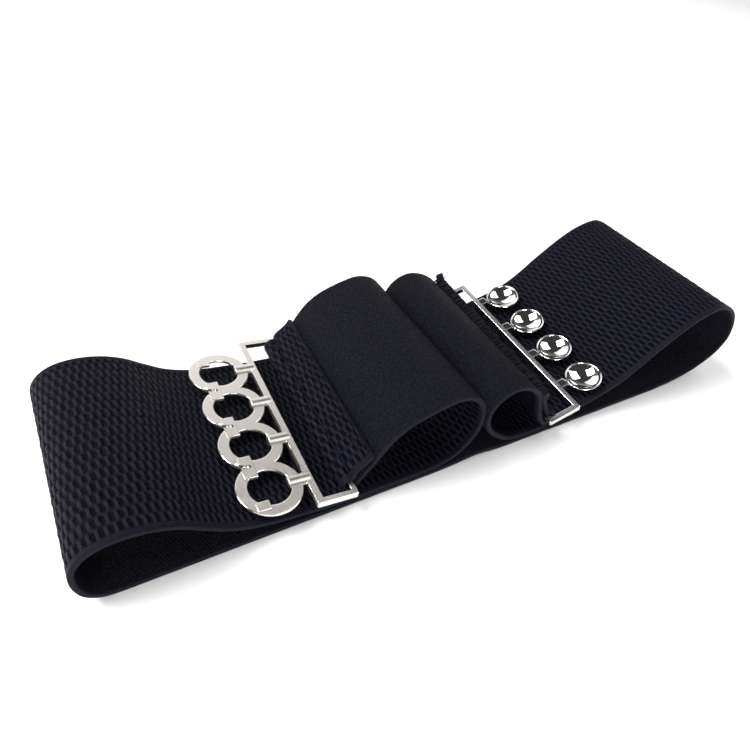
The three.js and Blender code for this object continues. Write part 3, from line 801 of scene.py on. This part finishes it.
def plate(parts, outline, holes, low, high, bevel):
    """A flat plate with holes between two heights, its edges rounded off."""
    curve = bpy.data.curves.new("plate", "CURVE")
    curve.dimensions = "2D"
    curve.fill_mode = "BOTH"
    curve.extrude = (high - low) / 2 - bevel
    curve.bevel_depth = bevel
    curve.bevel_resolution = 1
    curve.offset = -bevel
    for path in (outline, *holes):
        spline = curve.splines.new("POLY")
        spline.points.add(len(path) - 1)
        for point, (x, y) in zip(spline.points, path):
            point.co = (x, y, 0, 1)
        spline.use_cyclic_u = True
    item = link(bpy.data.objects.new("plate", curve))
    shape = bmesh.new()
    made = bpy.data.meshes.new_from_object(item)
    shape.from_mesh(made)
    bmesh.ops.remove_doubles(shape, verts=shape.verts, dist=JOIN_DISTANCE)
    shape.normal_update()
    points = [(*v.co[:2], v.co[2] + (low + high) / 2) for v in shape.verts]
    faces = [[v.index for v in face.verts] for face in shape.faces]
    steep, flat = BEVEL_SLOPES
    slots = [EDGE if steep < abs(face.normal.z) < flat else PLAIN for face in shape.faces]
    shape.free()
    bpy.data.objects.remove(item)
    bpy.data.curves.remove(curve)
    bpy.data.meshes.remove(made)
    parts.add(points, faces, slots)


def hook_row(shift):
    """The middles of the hooks along the bar."""
    return [(k - (HOOKS - 1) / 2) * HOOK_PITCH + shift for k in range(HOOKS)]


def ring_outline(centres):
    """The outline of the overlapping rings: out along one side and back along the other."""
    meet = math.asin(HOOK_PITCH / 2 / RING_OUTER)
    right, left = [], []
    for y in centres:
        low = -math.pi / 2 if y == centres[0] else -meet
        high = math.pi / 2 if y == centres[-1] else meet
        right.append(arc((RING_X, y), RING_OUTER, low, high, RING_ARC_POINTS))
        left.append(arc((RING_X, y), RING_OUTER, math.pi - low, math.pi - high, RING_ARC_POINTS))
    outward = np.concatenate([side[:-1] for side in right[:-1]] + right[-1:])
    back = np.concatenate([left[0][1:]] + left[1:])[::-1]
    return np.concatenate([outward, back[1:]])


def rounded_box(parts, low, high, bevel):
    """A box between two corners, its upright edges and its rims rounded off."""
    (x0, y0, z0), (x1, y1, z1) = low, high
    r = bevel * 1.5
    corners = ((x1 - r, y0 + r, -90), (x1 - r, y1 - r, 0), (x0 + r, y1 - r, 90), (x0 + r, y0 + r, 180))
    outline = [arc((x, y), r, math.radians(a), math.radians(a + 90), 4) for x, y, a in corners]
    plate(parts, np.concatenate(outline), [], z0, z1, bevel)


def boss(parts, centre, sizes, turn, material):
    """A smooth bump, a ball stretched by three sizes and turned in plan."""
    points, faces = lump(np.zeros(3), 1.0, 24)
    c, s = math.cos(turn), math.sin(turn)
    points = points * np.array(sizes) @ np.array([[c, s, 0], [-s, c, 0], [0, 0, 1]])
    parts.add(points + np.array(centre), faces, material)


def tab_marks(parts, y):
    """The pressed marks on a tab: a long one at its outer edge and a small one further in, each a bright
    bump on a wider near-black one that is painted shade.
    """
    for (x, across, height), sizes, turn, material in TAB_MARKS:
        boss(parts, (TAB_END + x, y + across, TAB_TOP + height), sizes, turn, material)


def tabs(parts, centres):
    """The flat tabs across the places where two rings meet, and a shorter one at each end of the row."""
    lowest = centres[0] - HOOK_PITCH / 2
    highest = centres[-1] + HOOK_PITCH / 2
    for k in range(HOOKS + 1):
        middle = lowest + k * HOOK_PITCH
        start = max(middle - TAB_HALF, lowest + END_TAB_INSET)
        end = min(middle + TAB_HALF, highest - END_TAB_INSET)
        rounded_box(parts, (TAB_START, start, TAB_BOTTOM), (TAB_END, end, TAB_TOP), TAB_BEVEL)
        if 0 < k < HOOKS:
            tab_marks(parts, middle)


def bridge(parts, y):
    """A rounded bridge from a ring to the long bar; its tube is a darker nickel whose colour is painted
    shade.
    """
    rows = ((BRIDGE_START, 1.0), (BRIDGE_END - BRIDGE_TIP, 1.0), (BRIDGE_END, BRIDGE_TIP_SHARE))
    points = []
    for x, scale in rows:
        for a in circle_angles(BRIDGE_SIDES):
            across = BRIDGE_WIDTH / 2 * scale * math.cos(a)
            points.append((x, y + across, BRIDGE_MIDDLE + BRIDGE_HEIGHT / 2 * scale * math.sin(a)))
    faces = ring_faces(len(rows), BRIDGE_SIDES) + end_faces(len(rows), BRIDGE_SIDES)
    slots = [BRUSHED_PAINTED_SHADE] * BRIDGE_SIDES + [PLAIN] * BRIDGE_SIDES + [BRUSHED_PAINTED_SHADE, PLAIN]
    parts.add(points, faces, slots)


def ring_half(materials):
    """The clasp half with four open rings, cast in one."""
    parts = Parts()
    clasp_frame(parts, False, RING_BAR_EXTRA, PLAIN)
    centres = hook_row(RING_SHIFT)
    holes = [arc((RING_X, y), RING_HOLE, 0, 2 * math.pi, HOLE_SIDES + 1)[:-1] for y in centres]
    plate(parts, ring_outline(centres), holes, PLATE_BOTTOM, PLATE_TOP, EDGE_BEVEL)
    tabs(parts, centres)
    for y in centres:
        bridge(parts, y)
    item = parts.finish("ring_clasp_half", materials, clasp_place("ring_clasp", -1))
    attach(item, "root")
    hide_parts("ring_clasp")


def dome_profile():
    """A dome's section, as radius and height over the rim: up the outside, over the rim and down inside."""
    sphere = (DOME_RADIUS**2 + DOME_DEPTH**2) / (2 * DOME_DEPTH)
    rise = sphere - DOME_DEPTH
    inner = sphere - DOME_WALL
    profile = []
    for a in np.linspace(DOME_POLE, math.acos(rise / sphere), 20):
        profile.append((sphere * math.sin(a), rise - sphere * math.cos(a)))
    for a in np.linspace(RIM_START, RIM_END, 17):
        profile.append((DOME_RADIUS - RIM_BEAD + RIM_BEAD * math.cos(a), RIM_BEAD * math.sin(a) + RIM_LIFT))
    spread = math.acos(min(1.0, (rise + RIM_LIFT) / inner))
    for a in np.linspace(spread * 0.985, DOME_POLE, 22):
        profile.append((inner * math.sin(a), rise - inner * math.cos(a)))
    return profile


def dome(parts, y):
    """A hollow dome, open upwards, with a fine rim."""
    profile = dome_profile()
    points = [
        (DOME_X + radius * math.cos(a), y + radius * math.sin(a), DOME_RIM + height)
        for radius, height in profile
        for a in circle_angles(DOME_SIDES)
    ]
    parts.add(points, ring_faces(len(profile), DOME_SIDES) + end_faces(len(profile), DOME_SIDES))


def arm_section(high, low):
    """The section of a tongue in turn, as distance across and height, with a lip along each side."""
    half, lip, floor = ARM_WIDTH / 2, ARM_WIDTH / 2 - ARM_LIP, high - ARM_LIP_HEIGHT
    below, above, foot = ARM_BEVEL_BELOW, ARM_BEVEL_ABOVE, lip - ARM_LIP_SLOPE
    section = [(-half, low + below), (below - half, low), (half - below, low), (half, low + below)]
    section += [(half, high - above), (half - above, high), (lip, high), (foot, floor)]
    return section + [(-foot, floor), (-lip, high), (above - half, high), (-half, high - above)]


def arm(parts, y):
    """The cranked tongue that carries a dome, with raised lips along both sides."""
    rim_x = DOME_X - DOME_RADIUS
    top = BAR_HEIGHT / 2 - ARM_DROP
    bottom = DOME_RIM - ARM_THICKNESS
    # Sections from the bar to under the dome: place along, top of the lips and underside
    path = (
        (FRAME_REACH, top, top - ARM_THICKNESS),
        (rim_x - 2.2, top, bottom + 1.15),
        (rim_x - 1.3, (top + DOME_RIM + 0.9) / 2 + 0.1, bottom + 0.5),
        (rim_x - 0.4, DOME_RIM + 0.9, bottom + 0.32),
        (rim_x + 0.8, DOME_RIM + 0.42, bottom + 0.22),
        (rim_x + 1.6, DOME_RIM + 0.2, bottom + 0.25),
    )
    points = [(x, y + across, height) for x, high, low in path for across, height in arm_section(high, low)]
    # The sunken floor between the lips is near-black chrome
    across_slots = [PLAIN] * 4 + [SATIN] * 3 + [NEAR_BLACK] + [SATIN] * 3 + [PLAIN]
    count = len(across_slots)
    faces = ring_faces(len(path), count) + end_faces(len(path), count)
    parts.add(points, faces, across_slots * (len(path) - 1) + [PLAIN, PLAIN])


def dome_half(materials):
    """The clasp half with four hollow domes."""
    parts = Parts()
    clasp_frame(parts, True, 0.0, SATIN)
    for y in hook_row(DOME_SHIFT):
        dome(parts, y)
        arm(parts, y)
    item = parts.finish("dome_clasp_half", materials, clasp_place("dome_clasp", 1))
    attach(item, "root")
    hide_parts("dome_clasp")


def new_material(name):
    """A material with its node tree and its Principled shader."""
    material = bpy.data.materials.new(name)
    material.use_nodes = True
    tree = material.node_tree
    return material, tree, tree.nodes["Principled BSDF"]


def math_step(tree, operation, first, second=None):
    """One sum in a node tree; first and second are sockets or numbers."""
    step = tree.nodes.new("ShaderNodeMath")
    step.operation = operation
    for socket, value in zip(step.inputs, (first, second)):
        if value is None:
            continue
        if isinstance(value, (int, float)):
            socket.default_value = value
        else:
            tree.links.new(value, socket)
    return step.outputs[0]


def weave_place(tree):
    """Sockets for the place on the weave and for its distances along and across the band, in mm."""
    place = tree.nodes.new("ShaderNodeUVMap")
    place.uv_map = "weave"
    parts = tree.nodes.new("ShaderNodeSeparateXYZ")
    tree.links.new(place.outputs[0], parts.inputs[0])
    return place.outputs[0], parts.outputs[0], parts.outputs[1]


def wave(tree, value, period):
    """The cosine of a distance over its period."""
    return math_step(tree, "COSINE", math_step(tree, "MULTIPLY", value, 2 * math.pi / period))


def noise(tree, place, scale, detail=2.0, stretch=None):
    """Soft random values over a place, stretched by three factors if they are given."""
    if stretch is not None:
        mapping = tree.nodes.new("ShaderNodeMapping")
        mapping.inputs["Scale"].default_value = stretch
        tree.links.new(place, mapping.inputs["Vector"])
        place = mapping.outputs[0]
    texture = tree.nodes.new("ShaderNodeTexNoise")
    texture.inputs["Scale"].default_value = scale
    texture.inputs["Detail"].default_value = detail
    tree.links.new(place, texture.inputs["Vector"])
    return texture.outputs[0]


def ramp(tree, value, low, high, dark, light):
    """Turns a value from low to high into a colour from dark to light."""
    ramp_node = tree.nodes.new("ShaderNodeValToRGB")
    first, last = ramp_node.color_ramp.elements
    first.position, last.position = low, high
    first.color, last.color = (*dark, 1), (*light, 1)
    tree.links.new(value, ramp_node.inputs[0])
    return ramp_node.outputs[0]


def bump(tree, shader, height, depth, before=None):
    """Adds fine surface unevenness of a depth in mm to a shader, on top of an earlier one."""
    bump_node = tree.nodes.new("ShaderNodeBump")
    bump_node.inputs["Strength"].default_value = 1.0
    bump_node.inputs["Distance"].default_value = depth * MM
    tree.links.new(height, bump_node.inputs["Height"])
    if before is not None:
        tree.links.new(before, bump_node.inputs["Normal"])
    tree.links.new(bump_node.outputs[0], shader.inputs["Normal"])
    return bump_node.outputs[0]


def cloth_shader(name, colours, roughness, sheen):
    """A matt, nearly black cloth whose colour wanders a little; returns what more can be added to."""
    material, tree, shader = new_material(name)
    place, along, across = weave_place(tree)
    shade = noise(tree, place, scale=0.9, detail=3.0)
    tree.links.new(ramp(tree, shade, 0.35, 0.7, *colours), shader.inputs["Base Color"])
    shader.inputs["Roughness"].default_value = roughness
    shader.inputs["Specular IOR Level"].default_value = 0.035
    shader.inputs["Sheen Weight"].default_value = sheen
    shader.inputs["Sheen Roughness"].default_value = 0.5
    shader.inputs["Sheen Tint"].default_value = (*SHEEN_TINT, 1)
    return material, tree, shader, (place, along, across)


def ribbed_cloth(name, grain_depth):
    """The ribbed face: dark gaps, painted shade in the colour, and lighter, threaded grains of a depth,
    besides any modelled ones.
    """
    material, tree, shader = new_material(name)
    place, along, across = weave_place(tree)
    leaning = math_step(tree, "SUBTRACT", along, math_step(tree, "MULTIPLY", across, GRAIN_LEAN))
    rows = wave(tree, across, 2 * GRAIN_ROW)
    grains = math_step(tree, "MULTIPLY", wave(tree, leaning, GRAIN_PITCH), rows)
    uneven = math_step(tree, "MULTIPLY", noise(tree, place, scale=0.8), 0.9)
    level = math_step(tree, "ADD", math_step(tree, "MULTIPLY", grains, 0.5), uneven)
    crown = ramp(tree, level, 0.12, 0.70, BLACK, WHITE)
    # Base colour follows the grains: painted shade in the gaps between them, and tone that differs at
    # random from the noise
    tree.links.new(ramp(tree, level, 0.22, 0.70, *RIBBED_TONE_AND_GAP_SHADE), shader.inputs["Base Color"])
    shader.inputs["Roughness"].default_value = 0.45
    shader.inputs["Specular IOR Level"].default_value = 0.04
    under = bump(tree, shader, crown, grain_depth)
    threads = noise(tree, place, scale=2.6, detail=3.0, stretch=(1.0, 3.2, 1.0))
    bump(tree, shader, threads, depth=0.14, before=under)
    return material


def knit_cloth(name):
    """The inner face: close short stitches in rows."""
    cloth = cloth_shader(name, KNIT_COLOURS, roughness=0.6, sheen=0.01)
    material, tree, shader, (place, along, across) = cloth
    rows = math_step(tree, "MULTIPLY", wave(tree, along, KNIT_ROW), wave(tree, across, KNIT_COLUMN))
    stitches = bump(tree, shader, rows, depth=0.28)
    threads = noise(tree, place, scale=1.4, detail=3.0, stretch=(1.0, 2.0, 1.0))
    bump(tree, shader, threads, depth=0.75, before=stitches)
    return material


def selvedge_cloth(name):
    """The firm smooth strip along both edges."""
    cloth = cloth_shader(name, SELVEDGE_COLOURS, roughness=0.5, sheen=0.02)
    material, tree, shader, (place, _, _) = cloth
    bump(tree, shader, noise(tree, place, scale=3.4, stretch=(1.6, 1.0, 1.0)), depth=0.10)
    return material


def thread_cloth(name):
    """Dark matt thread."""
    material, tree, shader = new_material(name)
    shader.inputs["Base Color"].default_value = (*THREAD_COLOUR, 1)
    shader.inputs["Roughness"].default_value = 0.75
    shader.inputs["Specular IOR Level"].default_value = 0.15
    place = tree.nodes.new("ShaderNodeTexCoord").outputs["Object"]
    bump(tree, shader, noise(tree, place, scale=2500.0), depth=0.05)
    return material


def metal(name, colour, roughness, mottle=0.0, grain=0.0):
    """A plated metal; mottle spreads its roughness and grain its unevenness in mm."""
    material, tree, shader = new_material(name)
    shader.inputs["Base Color"].default_value = (*colour, 1)
    shader.inputs["Metallic"].default_value = 1.0
    shader.inputs["Roughness"].default_value = roughness
    place = tree.nodes.new("ShaderNodeTexCoord").outputs["Object"]
    if mottle:
        low, high = roughness - mottle, roughness + mottle
        spots = noise(tree, place, scale=900.0, detail=3.0)
        spread = ramp(tree, spots, 0.3, 0.7, (low,) * 3, (high,) * 3)
        tree.links.new(spread, shader.inputs["Roughness"])
    if grain:
        bump(tree, shader, noise(tree, place, scale=1400.0), grain)
    return material


def pale_floor():
    """The white table that the belt lies on."""
    material, _, shader = new_material("pale_floor")
    shader.inputs["Base Color"].default_value = (*FLOOR_COLOUR, 1)
    shader.inputs["Roughness"].default_value = 0.9
    bpy.ops.mesh.primitive_plane_add(size=FLOOR_SIZE, location=(0, 0, -FLOOR_DROP))
    floor = bpy.context.active_object
    floor.name = "floor"
    floor.data.materials.append(material)


def area_light(name, place, target, size, power):
    """A soft light of a size in metres, aimed at a target."""
    lamp = bpy.data.lights.new(name, "AREA")
    lamp.shape = "RECTANGLE"
    lamp.size, lamp.size_y = size
    lamp.energy = power
    item = link(bpy.data.objects.new(name, lamp))
    item.location = place
    item.rotation_euler = (Vector(target) - Vector(place)).to_track_quat("-Z", "Y").to_euler()


def studio():
    """A room that is bright at the horizon and dark overhead, and the lights in it."""
    world = bpy.data.worlds.new("studio")
    world.use_nodes = True
    tree = world.node_tree
    direction = tree.nodes.new("ShaderNodeTexCoord").outputs["Generated"]
    parts = tree.nodes.new("ShaderNodeSeparateXYZ")
    tree.links.new(direction, parts.inputs[0])
    shades = tree.nodes.new("ShaderNodeValToRGB")
    stops = shades.color_ramp.elements
    for height, _ in SKY[1:-1]:
        stops.new(height)
    for stop, (_, grey) in zip(stops, SKY):
        stop.color = (*(grey * tint for tint in SKY_TINT), 1)
    tree.links.new(parts.outputs[2], shades.inputs[0])
    tree.links.new(shades.outputs[0], tree.nodes["Background"].inputs["Color"])
    bpy.context.scene.world = world
    for light in LIGHTS:
        area_light(*light)
    bpy.context.scene.view_settings.view_transform = "Standard"


def camera():
    """The camera at the photograph's place, turn and lens."""
    azimuth, elevation, roll = CAMERA_AZIMUTH, CAMERA_ELEVATION, CAMERA_ROLL
    reach = math.cos(elevation)
    back = Vector((math.sin(azimuth) * reach, -math.cos(azimuth) * reach, math.sin(elevation)))
    level = (-back).cross(Vector((0, 0, 1))).normalized()
    rise = level.cross(-back)
    right = level * math.cos(roll) + rise * math.sin(roll)
    up = rise * math.cos(roll) - level * math.sin(roll)
    lens = bpy.data.cameras.new("camera")
    lens.sensor_width = SENSOR_WIDTH
    lens.lens = FOCAL_PIXELS / PICTURE_WIDTH * SENSOR_WIDTH
    lens.clip_start = NEAREST_SEEN * MM
    item = link(bpy.data.objects.new("camera", lens))
    turn = Matrix((right, up, back)).transposed().to_4x4()
    item.matrix_world = Matrix.Translation(Vector(CAMERA_PLACE) * MM) @ turn
    bpy.context.scene.camera = item


satin_nickel = metal("satin_nickel", (0.72, 0.68, 0.64), roughness=0.38, mottle=0.06, grain=0.01)
nickel_edge = metal("nickel_edge", (0.82, 0.80, 0.76), roughness=0.14)
# Nickel for the bridges' tubes: the lower roughness is their brushed finish, the darker colour is painted
# shade
brushed_painted_shade_nickel = metal("brushed_painted_shade_nickel", (0.50, 0.475, 0.45), roughness=0.30)
# Near-black nickel, painted shade: the dark line round a tab's long mark and the dark pit of its small one
painted_shade_nickel = metal("painted_shade_nickel", (0.10, 0.09, 0.08), roughness=0.35)
chrome = metal("chrome", (0.72, 0.72, 0.71), roughness=0.035)
chrome_edge = metal("chrome_edge", (0.86, 0.86, 0.85), roughness=0.10)
# Near-black chrome, used on the sunken floor between an arm's lips
near_black_chrome = metal("near_black_chrome", (0.045, 0.045, 0.045), roughness=0.4, mottle=0.1, grain=0.03)
satin_chrome = metal("satin_chrome", (0.66, 0.66, 0.65), roughness=0.27)
cloths = [
    ribbed_cloth("ribbed_cloth", CROWN_DEPTH),
    ribbed_cloth("ribbed_cloth_far", GRAIN_DEPTH),
    knit_cloth("knit_cloth"),
    selvedge_cloth("selvedge_cloth"),
]
thread = thread_cloth("sewing_thread")

band, lay = woven_band()
stitch_row(lay, thread)
overlock(lay, thread)
raw_fibres(lay, thread)
ring_half([satin_nickel, nickel_edge, brushed_painted_shade_nickel, painted_shade_nickel])
dome_half([chrome, chrome_edge, near_black_chrome, satin_chrome])

pale_floor()
studio()
camera()
